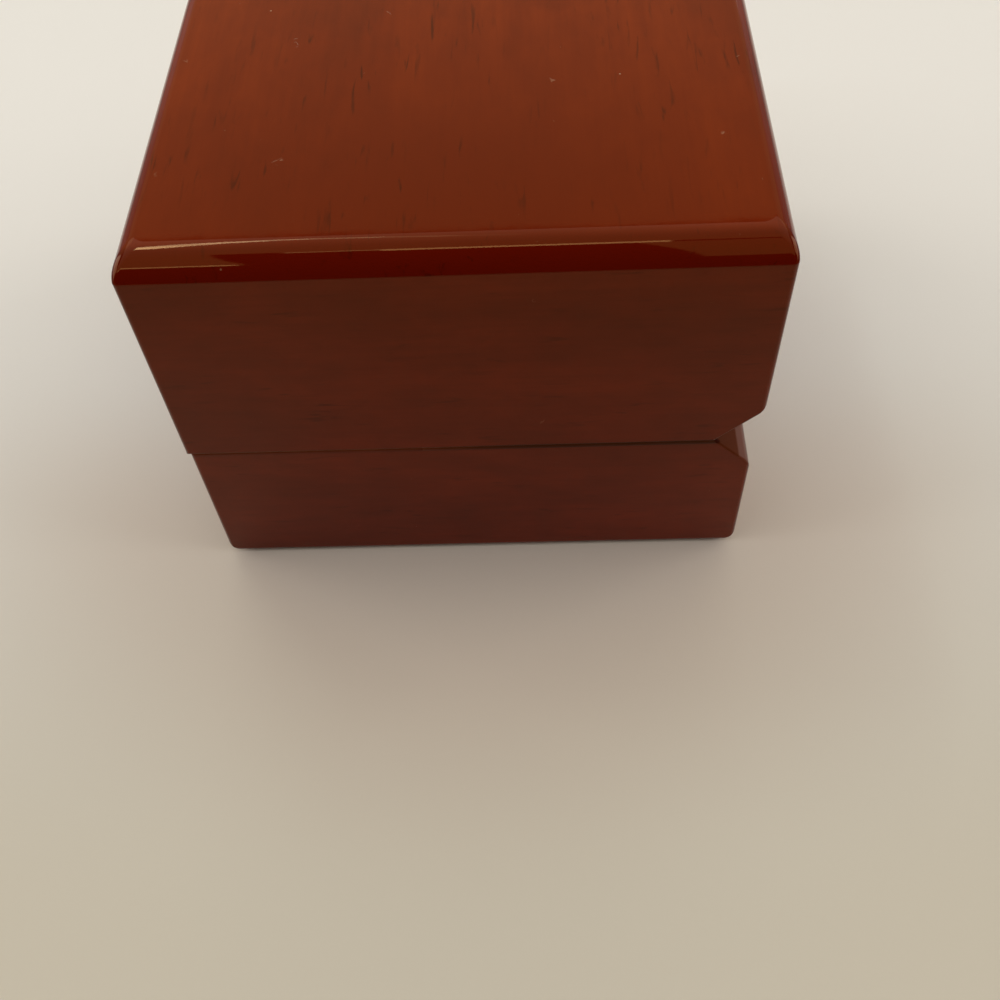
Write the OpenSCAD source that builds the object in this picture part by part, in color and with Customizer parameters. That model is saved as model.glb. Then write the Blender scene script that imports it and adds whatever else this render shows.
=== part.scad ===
// Hinged ring display box of lacquered wood, closed, with its felt on z = 0.
// Front towards -Y, rear groove and hinges towards +Y, origin under the middle of the box.

/* [Box] */
// Width of the lid from side to side
box_width = 65; // [60:1:80]
// Depth of the lid from front to rear
box_depth = 65; // [60:1:80]
// Height of the closed box
box_height = 49.6; // [46:0.2:60]
// Height of the base's rim
rim_height = 21; // [20:0.1:23]
// Gap between the two rims when the lid is shut
seam_gap = 0.2; // [0.1:0.05:0.4]
// Distance that the base's faces stand in from the lid's
base_inset = 0.3; // [0:0.1:0.6]
// Thickness of the lid's walls
wall = 9; // [8.5:0.1:10]

/* [Edges] */
// Radius of the upright corners
corner_radius = 0.6; // [0.4:0.1:2.5]
// Radius of the arc along the lid's left and right top edges
crown_radius = 4.3; // [3:0.1:8]
// Height of the flat under that arc, down to the joint with the walls
crown_land = 0.08; // [0.04:0.02:0.4]
// Radius of the smaller arc along the lid's front and rear top edges
brow_radius = 2; // [0.4:0.1:2]
// How much the upright corners' radius grows for each millimetre in over the arc
corner_growth = 0.2; // [0:0.05:0.5]
// Radius under the base's outer edges
foot_radius = 1.5; // [0.4:0.1:2.5]
// Radius of the lid's lower outer edges
lid_ease = 0.7; // [0.2:0.1:1.2]
// Radius of the base's upper outer edges
rim_ease = 0.4; // [0.2:0.1:1]

/* [Panels] */
// Thickness of the top panel where it lies over the walls
lip_thickness = 2.15; // [1.5:0.05:3]
// Height of the plug that locates the top panel between the walls
plug_height = 2.5; // [1.5:0.1:3]
// Clearance round the plug
plug_clearance = 0.1; // [0.05:0.05:0.3]
// Thickness of the base's floor panel
floor_thickness = 3; // [2:0.1:4]
// Width of the step in the walls that holds the floor panel
floor_rabbet = 3; // [2:0.1:4]
// Thickness of the felt under the floor panel
felt_thickness = 1; // [0.6:0.1:1.5]
// Height that the felt lifts the walls off the table
felt_stand = 0.4; // [0.2:0.1:0.5]
// Gap between the felt and the step round it
felt_clearance = 0.3; // [0.1:0.1:1]

/* [Rear groove and hinges] */
// Distance in from the lid's rear face where the 45 degree bevels start
groove_depth = 5; // [4.5:0.1:5.5]
// Distance between the two hinges
hinge_spacing = 38; // [30:1:40]
// Diameter of a hinge barrel and of its bore
barrel_diameter = 5; // [4.4:0.1:5.4]
// Length of a hinge barrel
barrel_length = 9; // [7:0.5:12]
// Depth of the bore past the barrel's end
bore_relief = 0.3; // [0.1:0.1:1]
// Distance of each hinge pin from its rim
pin_setback = 1.7; // [1.5:0.1:2]
// Diameter of a hinge pin
pin_diameter = 1.2; // [0.8:0.1:1.4]
// How far a pin's ends stay inside the barrel
pin_end_gap = 0.1; // [0.1:0.05:0.3]
// Radial clearance of the links on the pins
link_play = 0.05; // [0.02:0.01:0.08]
// Width of a link
link_width = 2.5; // [2.2:0.1:2.8]
// Thickness of a link
link_thickness = 0.7; // [0.5:0.05:0.8]
// Number of links in a hinge
link_count = 3; // [1:1:3]
// Clearance between the links and round them in the barrel's slot
slot_play = 0.06; // [0.04:0.01:0.12]

/* [Linings] */
// Thickness of the covered card that lines the walls
lining_thickness = 1.2; // [0.8:0.1:2]
// Distance that the linings stop short of the rims
lining_drop = 0.6; // [0.3:0.1:2]
// Thickness of the card behind the lid's pad
board_thickness = 1; // [0.8:0.1:2]
// Thickness of the lid's pad at its middle
pad_thickness = 7; // [4:0.5:9]
// Height that the pad's middle stands proud of its edges
pad_crown = 2.5; // [1:0.1:3]
// Radius of the pad's corners
pad_corner = 4; // [2:0.5:8]
// Gap between the pad and the linings
pad_gap = 0.3; // [0.1:0.1:1]

/* [Ring insert] */
// Distance of the insert's top under the base's rim
insert_drop = 5.6; // [4.6:0.1:7]
// Thickness of the insert's covered card
insert_card = 1.5; // [1:0.1:2]
// Gap between the insert and the linings
insert_gap = 0.2; // [0.1:0.1:0.6]
// Width of the insert's border at the left and right of its window
side_border = 6; // [5:0.5:8]
// Width of the insert's border at the front and rear of its window
front_border = 10; // [8:0.5:12]
// Gap between the window and the rolls, and between the rolls
roll_gap = 0.2; // [0.1:0.05:0.5]
// Height of a roll
roll_height = 12.6; // [10:0.1:13]
// Height that the rolls stand proud of the insert
roll_proud = 3.6; // [2:0.1:4.5]
// Radius along a roll's upper edges
roll_shoulder = 5; // [3:0.1:5.5]
// Least flat left between a roll's two upper edges
roll_flat = 0.6; // [0.2:0.1:1]
// Radius along a roll's lower edges
roll_heel = 2; // [1:0.1:3]
// Margin of the foam bed past the window
bed_margin = 2; // [0:0.5:3]

/* [Hidden] */
$fn = 96;

// How far a cutting shape runs past the surface that it cuts
overcut = 1;

base_width = box_width - 2 * base_inset;
base_depth = box_depth - 2 * base_inset;
cavity_width = box_width - 2 * wall;
cavity_depth = box_depth - 2 * wall;
lined_width = cavity_width - 2 * lining_thickness;
lined_depth = cavity_depth - 2 * lining_thickness;
step_width = cavity_width + 2 * floor_rabbet;
step_depth = cavity_depth + 2 * floor_rabbet;
plug_width = cavity_width - 2 * plug_clearance;
plug_depth = cavity_depth - 2 * plug_clearance;

wall_foot = felt_stand;
floor_low = felt_thickness;
floor_high = floor_low + floor_thickness;
lid_low = rim_height + seam_gap;
lid_wall_top = box_height - lip_thickness;
ceiling = lid_wall_top - plug_height;
board_low = ceiling - board_thickness;

// The arc along the lid's left and right top edges: its turn from the flat top down to the land,
// how far in from the lid's faces it starts, and the steps and thin layers that it is drawn in
crown_angle = acos(1 - (lip_thickness - crown_land) / crown_radius);
crown_reach = crown_radius * sin(crown_angle);
crown_steps = 12;
layer_thickness = 0.02;
layer_facets = 32;

hinge_y = box_depth / 2 - groove_depth;
link_pitch = link_thickness + slot_play;
slot_width = link_count * link_pitch + slot_play;
pin_length = sqrt(pow(barrel_diameter, 2) - pow(pin_diameter, 2)) - 2 * pin_end_gap;

insert_width = lined_width - 2 * insert_gap;
insert_depth = lined_depth - 2 * insert_gap;
insert_top = rim_height - insert_drop;
window_width = insert_width - 2 * side_border;
window_depth = insert_depth - 2 * front_border;

roll_top = insert_top + roll_proud;
roll_low = roll_top - roll_height;
roll_length = window_width - 2 * roll_gap;
roll_depth = (window_depth - 3 * roll_gap) / 2;

// ---------------------------------------------------------------- shapes

// The four corners of a rectangle round the origin, from the front left one
function rectangle(width, depth) = [
    [-width / 2, -depth / 2], [width / 2, -depth / 2],
    [width / 2, depth / 2], [-width / 2, depth / 2]
];

// What a rounding of radius r takes off the corner p between its neighbours a and b
module corner_waste(a, p, b, r) {
    u = (a - p) / norm(a - p);
    v = (b - p) / norm(b - p);
    half_angle = acos(u * v) / 2;
    centre = p + (u + v) / norm(u + v) * r / sin(half_angle);
    difference() {
        polygon([p, p + u * r / tan(half_angle), centre, p + v * r / tan(half_angle)]);
        translate(centre) circle(r);
    }
}

// A convex outline whose corners are rounded by true arcs; a radius of 0 keeps a corner sharp
module rounded_outline(points, radii) {
    count = len(points);
    difference() {
        polygon(points);
        for (i = [0 : count - 1])
            if (radii[i] > 0)
                corner_waste(
                    points[(i + count - 1) % count], points[i], points[(i + 1) % count], radii[i]
                );
    }
}

// A section given as (Y, Z), drawn out along X
module along_x(length) rotate([90, 0, 90]) linear_extrude(length, center = true) children();

// A section given as (X, Z), drawn out along Y
module along_y(length) rotate([90, 0, 0]) linear_extrude(length, center = true) children();

// An upright slab with square corners
module slab(width, depth, low, high)
    translate([0, 0, low]) linear_extrude(high - low) polygon(rectangle(width, depth));

// An upright block with rounded corners
module upright(width, depth, low, high, radius)
    translate([0, 0, low])
        linear_extrude(high - low)
            rounded_outline(rectangle(width, depth), [radius, radius, radius, radius]);

// The space of one side between its mitres; the side is "front", "right" or "rear"
module mitred_side(side, width, depth, low, high) {
    outer = rectangle(width, depth);
    inner = rectangle(cavity_width, cavity_depth);
    first = side == "front" ? 0 : side == "right" ? 1 : 2;
    second = first + 1;
    translate([0, 0, low])
        linear_extrude(high - low)
            polygon([outer[first], outer[second], inner[second], inner[first]]);
}

// Puts a shape that stands on a rim at z = 0 on the base's rim, upside down
module on_base() translate([0, 0, rim_height]) mirror([0, 0, 1]) children();

// Puts a shape that stands on a rim at z = 0 on the lid's rim
module on_lid() translate([0, 0, lid_low]) children();

// ---------------------------------------------------------------- walls

// A shell's section from its middle out to a face, from the rim at 0 to its far edge
module edge_section(half, height, rim_radius, far_radius)
    rounded_outline(
        [[0, 0], [half, 0], [half, height], [0, height]],
        [0, rim_radius, far_radius, 0]
    );

// The rear wall's section, with the bevel along its rim
module bevelled_section(half, height, far_radius)
    rounded_outline(
        [[0, 0], [hinge_y, 0], [half, half - hinge_y], [half, height], [0, height]],
        [0, 0, 0, far_radius, 0]
    );

// What the rear bevel leaves of a right wall's (Y, Z) section
module bevel_clip(half, height)
    polygon([
        [-half - overcut, -overcut], [hinge_y - overcut, -overcut],
        [half + overcut, half - hinge_y + overcut], [half + overcut, height + overcut],
        [-half - overcut, height + overcut]
    ]);

// One wall, between its mitres, of a shell that stands on its rim at z = 0
module shell_wall(side, width, depth, height, rim_radius, far_radius)
    intersection() {
        if (side == "front")
            mirror([0, 1, 0]) along_x(width) edge_section(depth / 2, height, rim_radius, far_radius);
        if (side == "right")
            intersection() {
                along_y(depth) edge_section(width / 2, height, rim_radius, far_radius);
                along_x(width + overcut) bevel_clip(depth / 2, height);
            }
        if (side == "rear") along_x(width) bevelled_section(depth / 2, height, far_radius);
        mitred_side(side, width, depth, -overcut, height + overcut);
        upright(width, depth, -overcut, height + overcut, corner_radius);
    }

// One of the base's walls, stepped inside for the floor panel and the felt
module base_wall(side)
    color("saddlebrown")
        difference() {
            on_base()
                shell_wall(
                    side, base_width, base_depth, rim_height - wall_foot, rim_ease, foot_radius
                );
            slab(step_width, step_depth, wall_foot - overcut, floor_high);
        }

// One of the lid's walls
module lid_wall(side)
    color("saddlebrown")
        on_lid() shell_wall(side, box_width, box_depth, lid_wall_top - lid_low, lid_ease, 0);

module base_front_wall() base_wall("front");

module base_right_wall() base_wall("right");

module base_left_wall() mirror([1, 0, 0]) base_wall("right");

module base_rear_wall()
    color("saddlebrown")
        difference() {
            base_wall("rear");
            for (side = [-1, 1]) on_base() at_hinge(side) barrel_bore();
        }

module lid_front_wall() lid_wall("front");

module lid_right_wall() lid_wall("right");

module lid_left_wall() mirror([1, 0, 0]) lid_wall("right");

module lid_rear_wall()
    color("saddlebrown")
        difference() {
            lid_wall("rear");
            for (side = [-1, 1]) on_lid() at_hinge(side) barrel_bore();
        }

// ---------------------------------------------------------------- panels and felt

// How far in from the lid's front and rear faces the top panel's upper part starts at a height
function brow_inset(height) =
    brow_radius - sqrt(pow(brow_radius, 2) - pow(max(0, height - box_height + brow_radius), 2));

// A thin layer of that upper part, some way in from the lid's left and right faces
module crown_layer(inset, height)
    upright(
        box_width - 2 * inset, box_depth - 2 * brow_inset(height), height - layer_thickness, height,
        corner_radius + inset * corner_growth, $fn = layer_facets
    );

// The top panel: its edges fall in an arc, and a plug under it locates it between the walls
module lid_top_panel()
    color("sienna") {
        hull() {
            crown_layer(0, lid_wall_top + layer_thickness);
            for (i = [0 : crown_steps]) {
                angle = crown_angle * i / crown_steps;
                crown_layer(
                    crown_reach - crown_radius * sin(angle),
                    box_height - crown_radius * (1 - cos(angle))
                );
            }
        }
        slab(plug_width, plug_depth, ceiling, lid_wall_top + lip_thickness / 2);
    }

module base_floor_panel()
    color("burlywood") slab(step_width, step_depth, floor_low, floor_high);

module base_felt()
    color("black")
        slab(step_width - 2 * felt_clearance, step_depth - 2 * felt_clearance, 0, felt_thickness);

// ---------------------------------------------------------------- hinges

// Puts a hinge's shape at the left hinge (side -1) or the right one (side 1)
module at_hinge(side) translate([side * hinge_spacing / 2, hinge_y, 0]) children();

// The bore for a barrel, up from the rim at z = 0
module barrel_bore()
    translate([0, 0, -overcut]) cylinder(d = barrel_diameter, h = barrel_length + bore_relief + overcut);

// A rod across a barrel where its pin goes
module cross_rod(length)
    translate([0, 0, pin_setback])
        rotate([0, 90, 0]) cylinder(d = pin_diameter, h = length, center = true);

// What stands outside the bevel that starts at the hinge line
module outside_bevel()
    along_x(barrel_diameter + 2 * overcut)
        polygon([
            [0, 0], [barrel_diameter, barrel_diameter], [barrel_diameter, -overcut], [0, -overcut]
        ]);

// The slot that the links swing in, open to the rear
module link_slot() {
    front = link_width / 2 + slot_play;
    depth = pin_setback + front;
    translate([-slot_width / 2, -front, -overcut])
        cube([slot_width, front + barrel_diameter / 2 + overcut, depth + overcut]);
}

// A barrel up from the rim at z = 0: slotted, drilled for its pin, and bevelled flush with the groove
module barrel()
    color("gold")
        difference() {
            cylinder(d = barrel_diameter, h = barrel_length);
            outside_bevel();
            link_slot();
            cross_rod(barrel_diameter + 2 * overcut);
        }

module pin() color("silver") cross_rod(pin_length);

// One link: a bar with round ends and an eye on each pin
module link_plate() {
    low = rim_height - pin_setback;
    high = lid_low + pin_setback;
    along_x(link_thickness)
        difference() {
            union() {
                translate([-link_width / 2, low]) square([link_width, high - low]);
                for (height = [low, high]) translate([0, height]) circle(d = link_width);
            }
            for (height = [low, high])
                translate([0, height]) circle(d = pin_diameter + 2 * link_play);
        }
}

module links()
    color("goldenrod")
        for (i = [0 : link_count - 1])
            translate([(i - (link_count - 1) / 2) * link_pitch, 0, 0]) link_plate();

module hinge_left_base_barrel() on_base() at_hinge(-1) barrel();

module hinge_right_base_barrel() on_base() at_hinge(1) barrel();

module hinge_left_base_pin() on_base() at_hinge(-1) pin();

module hinge_right_base_pin() on_base() at_hinge(1) pin();

module hinge_left_links() at_hinge(-1) links();

module hinge_right_links() at_hinge(1) links();

module hinge_left_lid_barrel() on_lid() at_hinge(-1) barrel();

module hinge_right_lid_barrel() on_lid() at_hinge(1) barrel();

module hinge_left_lid_pin() on_lid() at_hinge(-1) pin();

module hinge_right_lid_pin() on_lid() at_hinge(1) pin();

// ---------------------------------------------------------------- linings and lid pad

// A rear lining, as long as the cavity
module rear_lining(low, high)
    color("ivory")
        translate([-cavity_width / 2, lined_depth / 2, low])
            cube([cavity_width, lining_thickness, high - low]);

// A right lining, between the front and rear ones
module right_lining(low, high)
    color("ivory")
        translate([lined_width / 2, -lined_depth / 2, low])
            cube([lining_thickness, lined_depth, high - low]);

module base_lining_rear() rear_lining(floor_high, rim_height - lining_drop);

module base_lining_front() mirror([0, 1, 0]) base_lining_rear();

module base_lining_right() right_lining(floor_high, rim_height - lining_drop);

module base_lining_left() mirror([1, 0, 0]) base_lining_right();

module lid_lining_rear() rear_lining(lid_low + lining_drop, board_low);

module lid_lining_front() mirror([0, 1, 0]) lid_lining_rear();

module lid_lining_right() right_lining(lid_low + lining_drop, board_low);

module lid_lining_left() mirror([1, 0, 0]) lid_lining_right();

module lid_pad_board()
    color("tan")
        slab(plug_width, plug_depth, board_low, ceiling);

// The lid's pad: a cushion under the board, crowned downwards like a shallow ball
module lid_pad() {
    width = lined_width - 2 * pad_gap;
    depth = lined_depth - 2 * pad_gap;
    half_span = min(width, depth) / 2;
    ball = (pow(half_span, 2) + pow(pad_crown, 2)) / (2 * pad_crown);
    color("ivory")
        intersection() {
            upright(width, depth, board_low - pad_thickness, board_low, pad_corner);
            translate([0, 0, board_low - pad_thickness + ball]) sphere(ball);
        }
}

// ---------------------------------------------------------------- ring insert

// The covered card box that holds the rolls: a top with a window, on four skirts
module insert_frame()
    color("ivory")
        difference() {
            slab(insert_width, insert_depth, floor_high, insert_top);
            slab(
                insert_width - 2 * insert_card, insert_depth - 2 * insert_card,
                floor_high - overcut, insert_top - insert_card
            );
            slab(window_width, window_depth, floor_high, insert_top + overcut);
        }

module insert_foam_bed()
    color("lightgray")
        slab(window_width + 2 * bed_margin, window_depth + 2 * bed_margin, floor_high, roll_low);

// The rear roll: a loaf of covered foam, behind the slit that grips the ring
module ring_roll_rear() {
    shoulder = min(roll_shoulder, (roll_depth - roll_flat) / 2);
    near = roll_gap / 2;
    far = near + roll_depth;
    color("ivory")
        along_x(roll_length)
            rounded_outline(
                [[near, roll_low], [far, roll_low], [far, roll_top], [near, roll_top]],
                [roll_heel, roll_heel, shoulder, shoulder]
            );
}

module ring_roll_front() mirror([0, 1, 0]) ring_roll_rear();

// ---------------------------------------------------------------- nodes

base_front_wall();
base_rear_wall();
base_left_wall();
base_right_wall();
base_floor_panel();
base_felt();
base_lining_front();
base_lining_rear();
base_lining_left();
base_lining_right();
insert_frame();
insert_foam_bed();
ring_roll_front();
ring_roll_rear();
hinge_left_base_barrel();
hinge_right_base_barrel();
hinge_left_base_pin();
hinge_right_base_pin();
hinge_left_links();
hinge_right_links();
hinge_left_lid_barrel();
hinge_right_lid_barrel();
hinge_left_lid_pin();
hinge_right_lid_pin();
lid_front_wall();
lid_rear_wall();
lid_left_wall();
lid_right_wall();
lid_top_panel();
lid_lining_front();
lid_lining_rear();
lid_lining_left();
lid_lining_right();
lid_pad_board();
lid_pad();
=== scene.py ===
import bpy
import bmesh
import math
from mathutils import Matrix, Vector, noise


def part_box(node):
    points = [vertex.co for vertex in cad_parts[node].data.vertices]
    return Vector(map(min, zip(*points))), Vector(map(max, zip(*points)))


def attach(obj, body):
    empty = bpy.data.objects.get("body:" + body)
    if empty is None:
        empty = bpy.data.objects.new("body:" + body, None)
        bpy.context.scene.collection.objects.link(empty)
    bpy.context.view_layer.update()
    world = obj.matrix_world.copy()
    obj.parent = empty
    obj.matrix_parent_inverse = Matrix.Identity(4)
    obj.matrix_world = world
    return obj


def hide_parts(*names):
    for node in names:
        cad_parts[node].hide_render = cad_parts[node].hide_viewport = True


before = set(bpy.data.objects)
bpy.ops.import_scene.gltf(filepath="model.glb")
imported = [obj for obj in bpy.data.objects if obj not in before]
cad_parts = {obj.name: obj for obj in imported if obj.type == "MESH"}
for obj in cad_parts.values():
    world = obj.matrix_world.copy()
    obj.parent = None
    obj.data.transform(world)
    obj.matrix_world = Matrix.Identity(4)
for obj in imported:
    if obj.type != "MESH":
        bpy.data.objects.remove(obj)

mm = 0.001
weld = 0.0005   # millimetres within which points are one
scene = bpy.context.scene
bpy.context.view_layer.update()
print("frame loaded:", len(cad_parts), "nodes")


# ---- meshes, all measured in millimetres until a piece is made

def nodeBox(node):
    low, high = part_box(node)
    return low / mm, high / mm


cornerSigns = ((-1, -1), (1, -1), (1, 1), (-1, 1))   # anticlockwise from the front left


def roundedLoop(halfX, halfY, radius, z, cornerSteps=8, sideSteps=1):
    # a level ring with round corners, anticlockwise from the front left corner's left end
    points = []
    radius = max(radius, 0.01)
    for turn, (signX, signY) in enumerate(cornerSigns):
        centre = Vector((signX * (halfX - radius), signY * (halfY - radius), z))
        for step in range(cornerSteps + 1):
            angle = math.pi + (turn + step / cornerSteps) * math.pi / 2
            points.append(centre + Vector((math.cos(angle), math.sin(angle), 0)) * radius)
        nextX, nextY = cornerSigns[(turn + 1) % 4]
        start = points[-1]
        if turn % 2 == 0:
            end = Vector((nextX * (halfX - radius), start.y, z))
        else:
            end = Vector((start.x, nextY * (halfY - radius), z))
        for step in range(1, sideSteps):
            points.append(start.lerp(end, step / sideSteps))
    return points


def stackRings(rings, closed=False):
    # joins rings of equal length; the ends are capped unless the stack runs round into itself
    bm = bmesh.new()
    rows = [[bm.verts.new(point) for point in ring] for ring in rings]
    count = len(rows[0])
    pairs = list(zip(rows, rows[1:])) + ([(rows[-1], rows[0])] if closed else [])
    for lower, upper in pairs:
        for i in range(count):
            j = (i + 1) % count
            bm.faces.new((lower[i], lower[j], upper[j], upper[i]))
    if not closed:
        bm.faces.new(rows[0][::-1])
        bm.faces.new(rows[-1])
    bmesh.ops.remove_doubles(bm, verts=bm.verts, dist=weld)
    return bm


def gridLine(low, high, edge, step):
    # places along one side: close together over the rounded ends, wider apart between them
    line = [low + edge * (1 - math.cos(i * math.pi / 8)) for i in range(4)]
    inner = max(1, round((high - low - 2 * edge) / step))
    line += [low + edge + (high - low - 2 * edge) * i / inner for i in range(inner + 1)]
    line += [high - edge * (1 - math.cos(i * math.pi / 8)) for i in range(3, -1, -1)]
    return line


def softBlock(low, high, edge, step, wobble=0.0, grain=4.0, seed=0):
    # a block with round edges and a slightly uneven surface
    low, high = Vector(low), Vector(high)
    lines = [gridLine(low[i], high[i], edge, step) for i in range(3)]
    bm = bmesh.new()
    for axis in range(3):
        u, v = (axis + 1) % 3, (axis + 2) % 3
        for level in (low[axis], high[axis]):
            rows = []
            for a in lines[u]:
                row = []
                for b in lines[v]:
                    point = Vector()
                    point[axis], point[u], point[v] = level, a, b
                    row.append(bm.verts.new(point))
                rows.append(row)
            for i in range(len(rows) - 1):
                for j in range(len(rows[0]) - 1):
                    bm.faces.new((rows[i][j], rows[i + 1][j], rows[i + 1][j + 1], rows[i][j + 1]))
    bmesh.ops.remove_doubles(bm, verts=bm.verts, dist=weld)
    for vert in bm.verts:
        inner = Vector(min(max(vert.co[i], low[i] + edge), high[i] - edge) for i in range(3))
        away = vert.co - inner
        if away.length > 1e-6:
            away.normalize()
            uneven = noise.noise(vert.co / grain + Vector((seed * 7.3, seed * 3.1, seed)))
            vert.co = inner + away * (edge - wobble * (0.5 + 0.5 * uneven))
    return bm


def swollen(bm, low, high, cover, held):
    # the cover swells and puckers in a short cloth run on an enlarged copy, and stays in its space
    enlarge = 0.02
    obj = looseObject(bm, "cover")
    obj.data.transform(Matrix.Scale(enlarge, 4))
    remesh = obj.modifiers.new("even net", "REMESH")
    remesh.mode, remesh.voxel_size, remesh.adaptivity = "VOXEL", cover["net"] * enlarge, 0.0
    obj = looseObject(applied(obj), "cover")
    start = [vert.co.copy() / enlarge for vert in obj.data.vertices]
    group = obj.vertex_groups.new(name="held")
    for i, point in enumerate(start):
        share = held(point)
        if share > 0:
            group.add([i], share, "REPLACE")
    swell = obj.modifiers.new("swell", "CLOTH")
    cloth = swell.settings
    cloth.quality, cloth.mass = 6, 0.3
    cloth.tension_stiffness = cloth.compression_stiffness = cover["stretch"]
    cloth.shear_stiffness, cloth.bending_stiffness = cover["stretch"] / 3, cover["bend"]
    cloth.use_pressure, cloth.uniform_pressure_force = True, cover["pressure"]
    cloth.shrink_min = cloth.shrink_max = -cover["slack"]
    cloth.vertex_group_mass, cloth.pin_stiffness = "held", 1.0
    cloth.effector_weights.gravity = 0.0
    swell.collision_settings.use_collision = False
    swell.collision_settings.use_self_collision = False
    swell.point_cache.frame_start, swell.point_cache.frame_end = 1, cover["frames"]
    for frameNumber in range(1, cover["frames"] + 1):
        scene.frame_set(frameNumber)
    bm = applied(obj)
    scene.frame_set(1)
    bm.verts.ensure_lookup_table()
    for vert, point in zip(bm.verts, start):
        move = vert.co / enlarge - point
        if move.length > cover["cap"]:
            move *= cover["cap"] / move.length
        vert.co = point + move
    obj = looseObject(bm, "cover")
    finer = obj.modifiers.new("finer", "SUBSURF")
    finer.levels = 1
    bm = applied(obj)
    for i in range(3):
        # what has swollen beyond the space is drawn back evenly, so that no side goes flat
        least, most = min(v.co[i] for v in bm.verts), max(v.co[i] for v in bm.verts)
        middle = (low[i] + high[i]) / 2
        for vert in bm.verts:
            reach, room = most - middle, high[i] - cover["clear"] - middle
            if vert.co[i] < middle:
                reach, room = middle - least, middle - low[i] - cover["clear"]
            if reach > room:
                vert.co[i] = middle + (vert.co[i] - middle) * room / reach
    return bm


def keepBeyond(bm, point, normal):
    # cuts with a plane, keeps the side that its normal points to and closes the cut
    cut = bmesh.ops.bisect_plane(
        bm, geom=bm.verts[:] + bm.edges[:] + bm.faces[:], plane_co=point, plane_no=normal,
        clear_inner=True,
    )
    edges = [e for e in cut["geom_cut"] if isinstance(e, bmesh.types.BMEdge)]
    if edges:
        bmesh.ops.edgeloop_fill(bm, edges=edges)


def looseObject(bm, name="loose"):
    mesh = bpy.data.meshes.new(name)
    bmesh.ops.recalc_face_normals(bm, faces=bm.faces)
    bm.to_mesh(mesh)
    bm.free()
    obj = bpy.data.objects.new(name, mesh)
    scene.collection.objects.link(obj)
    return obj


def applied(obj):
    # the object's mesh with its modifiers worked in, as a bmesh; the object itself goes away
    graph = bpy.context.evaluated_depsgraph_get()
    bm = bmesh.new()
    bm.from_mesh(obj.evaluated_get(graph).to_mesh())
    mesh = obj.data
    bpy.data.objects.remove(obj)
    bpy.data.meshes.remove(mesh)
    return bm


def cutAway(bm, cutters):
    obj = looseObject(bm)
    tools = [looseObject(cutter, "cutter") for cutter in cutters]
    for tool in tools:
        cut = obj.modifiers.new("cut", "BOOLEAN")
        cut.operation, cut.solver, cut.object = "DIFFERENCE", "EXACT", tool
    result = applied(obj)
    for tool in tools:
        bpy.data.objects.remove(tool)
    return result


def makePiece(name, bm, material, body, stoodFor=(), creaseAngle=35, flatten=True):
    mesh = bpy.data.meshes.new(name)
    bmesh.ops.recalc_face_normals(bm, faces=bm.faces)
    bm.to_mesh(mesh)
    bm.free()
    mesh.transform(Matrix.Scale(mm, 4))
    mesh.materials.append(material)
    mesh.shade_smooth()
    mesh.set_sharp_from_angle(angle=math.radians(creaseAngle))
    obj = bpy.data.objects.new(name, mesh)
    scene.collection.objects.link(obj)
    if flatten:
        even = obj.modifiers.new("even shading", "WEIGHTED_NORMAL")
        even.keep_sharp, even.weight = True, 80
    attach(obj, body)
    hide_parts(*stoodFor)
    return obj


# ---- materials

def newMaterial(name):
    material = bpy.data.materials.new(name)
    material.use_nodes = True
    return material, material.node_tree, material.node_tree.nodes["Principled BSDF"]


def place(tree, kind, inputs=None, **options):
    # a node with its options; an input is a number, a colour or another node's output
    node = tree.nodes.new("ShaderNode" + kind)
    for key, value in options.items():
        setattr(node, key, value)
    for key, value in (inputs or {}).items():
        if isinstance(value, bpy.types.NodeSocket):
            tree.links.new(value, node.inputs[key])
        else:
            node.inputs[key].default_value = value
    return node


def calc(tree, operation, first, second=0.0, clamp=False):
    return place(tree, "Math", {0: first, 1: second}, operation=operation, use_clamp=clamp).outputs[0]


def mixed(tree, amount, first, second, how="MIX"):
    return place(
        tree, "Mix", {0: amount, 6: first, 7: second}, data_type="RGBA", blend_type=how
    ).outputs[2]


def graded(tree, value, stops):
    node = place(tree, "ValToRGB", {0: value})
    ramp = node.color_ramp
    while len(ramp.elements) < len(stops):
        ramp.elements.new(0.5)
    for element, (position, colour) in zip(ramp.elements, stops):
        element.position = position
        element.color = (*colour, 1) if len(colour) == 3 else colour
    return node.outputs[0]


def stepped(tree, value, low, high):
    return place(
        tree, "MapRange", {0: value, 1: low, 2: high}, interpolation_type="SMOOTHSTEP"
    ).outputs[0]


def between(tree, value, limits):
    # rises from 0 to 1 between two places given in millimetres
    return stepped(tree, value, limits[0] * mm, limits[1] * mm)

def weighted(tree, *shares):
    # the sum of several textures, each times its share
    total = 0.0
    for value, share in shares:
        total = calc(tree, "ADD", calc(tree, "MULTIPLY", value, share), total)
    return total

def position(tree):
    # X, Y and Z of a point on the piece, in metres
    return place(tree, "SeparateXYZ", {0: place(tree, "TexCoord").outputs["Object"]}).outputs

def stretched(tree, scale=(1, 1, 1), offset=(0, 0, 0)):
    coordinates = place(tree, "TexCoord").outputs["Object"]
    return place(
        tree, "Mapping", {"Vector": coordinates, "Scale": scale, "Location": offset}
    ).outputs[0]

def noisy(tree, vector, scale, detail=3.0, roughness=0.5, distortion=0.0):
    return place(tree, "TexNoise", {
        "Vector": vector, "Scale": scale, "Detail": detail, "Roughness": roughness,
        "Distortion": distortion,
    }).outputs[0]


def bumped(tree, height, strength, distance, under=None):
    inputs = {"Height": height, "Strength": strength, "Distance": distance}
    if under is not None:
        inputs["Normal"] = under
    return place(tree, "Bump", inputs).outputs[0]


def setShader(shader, **values):
    for key, value in values.items():
        shader.inputs[key.replace("_", " ")].default_value = value


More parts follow.
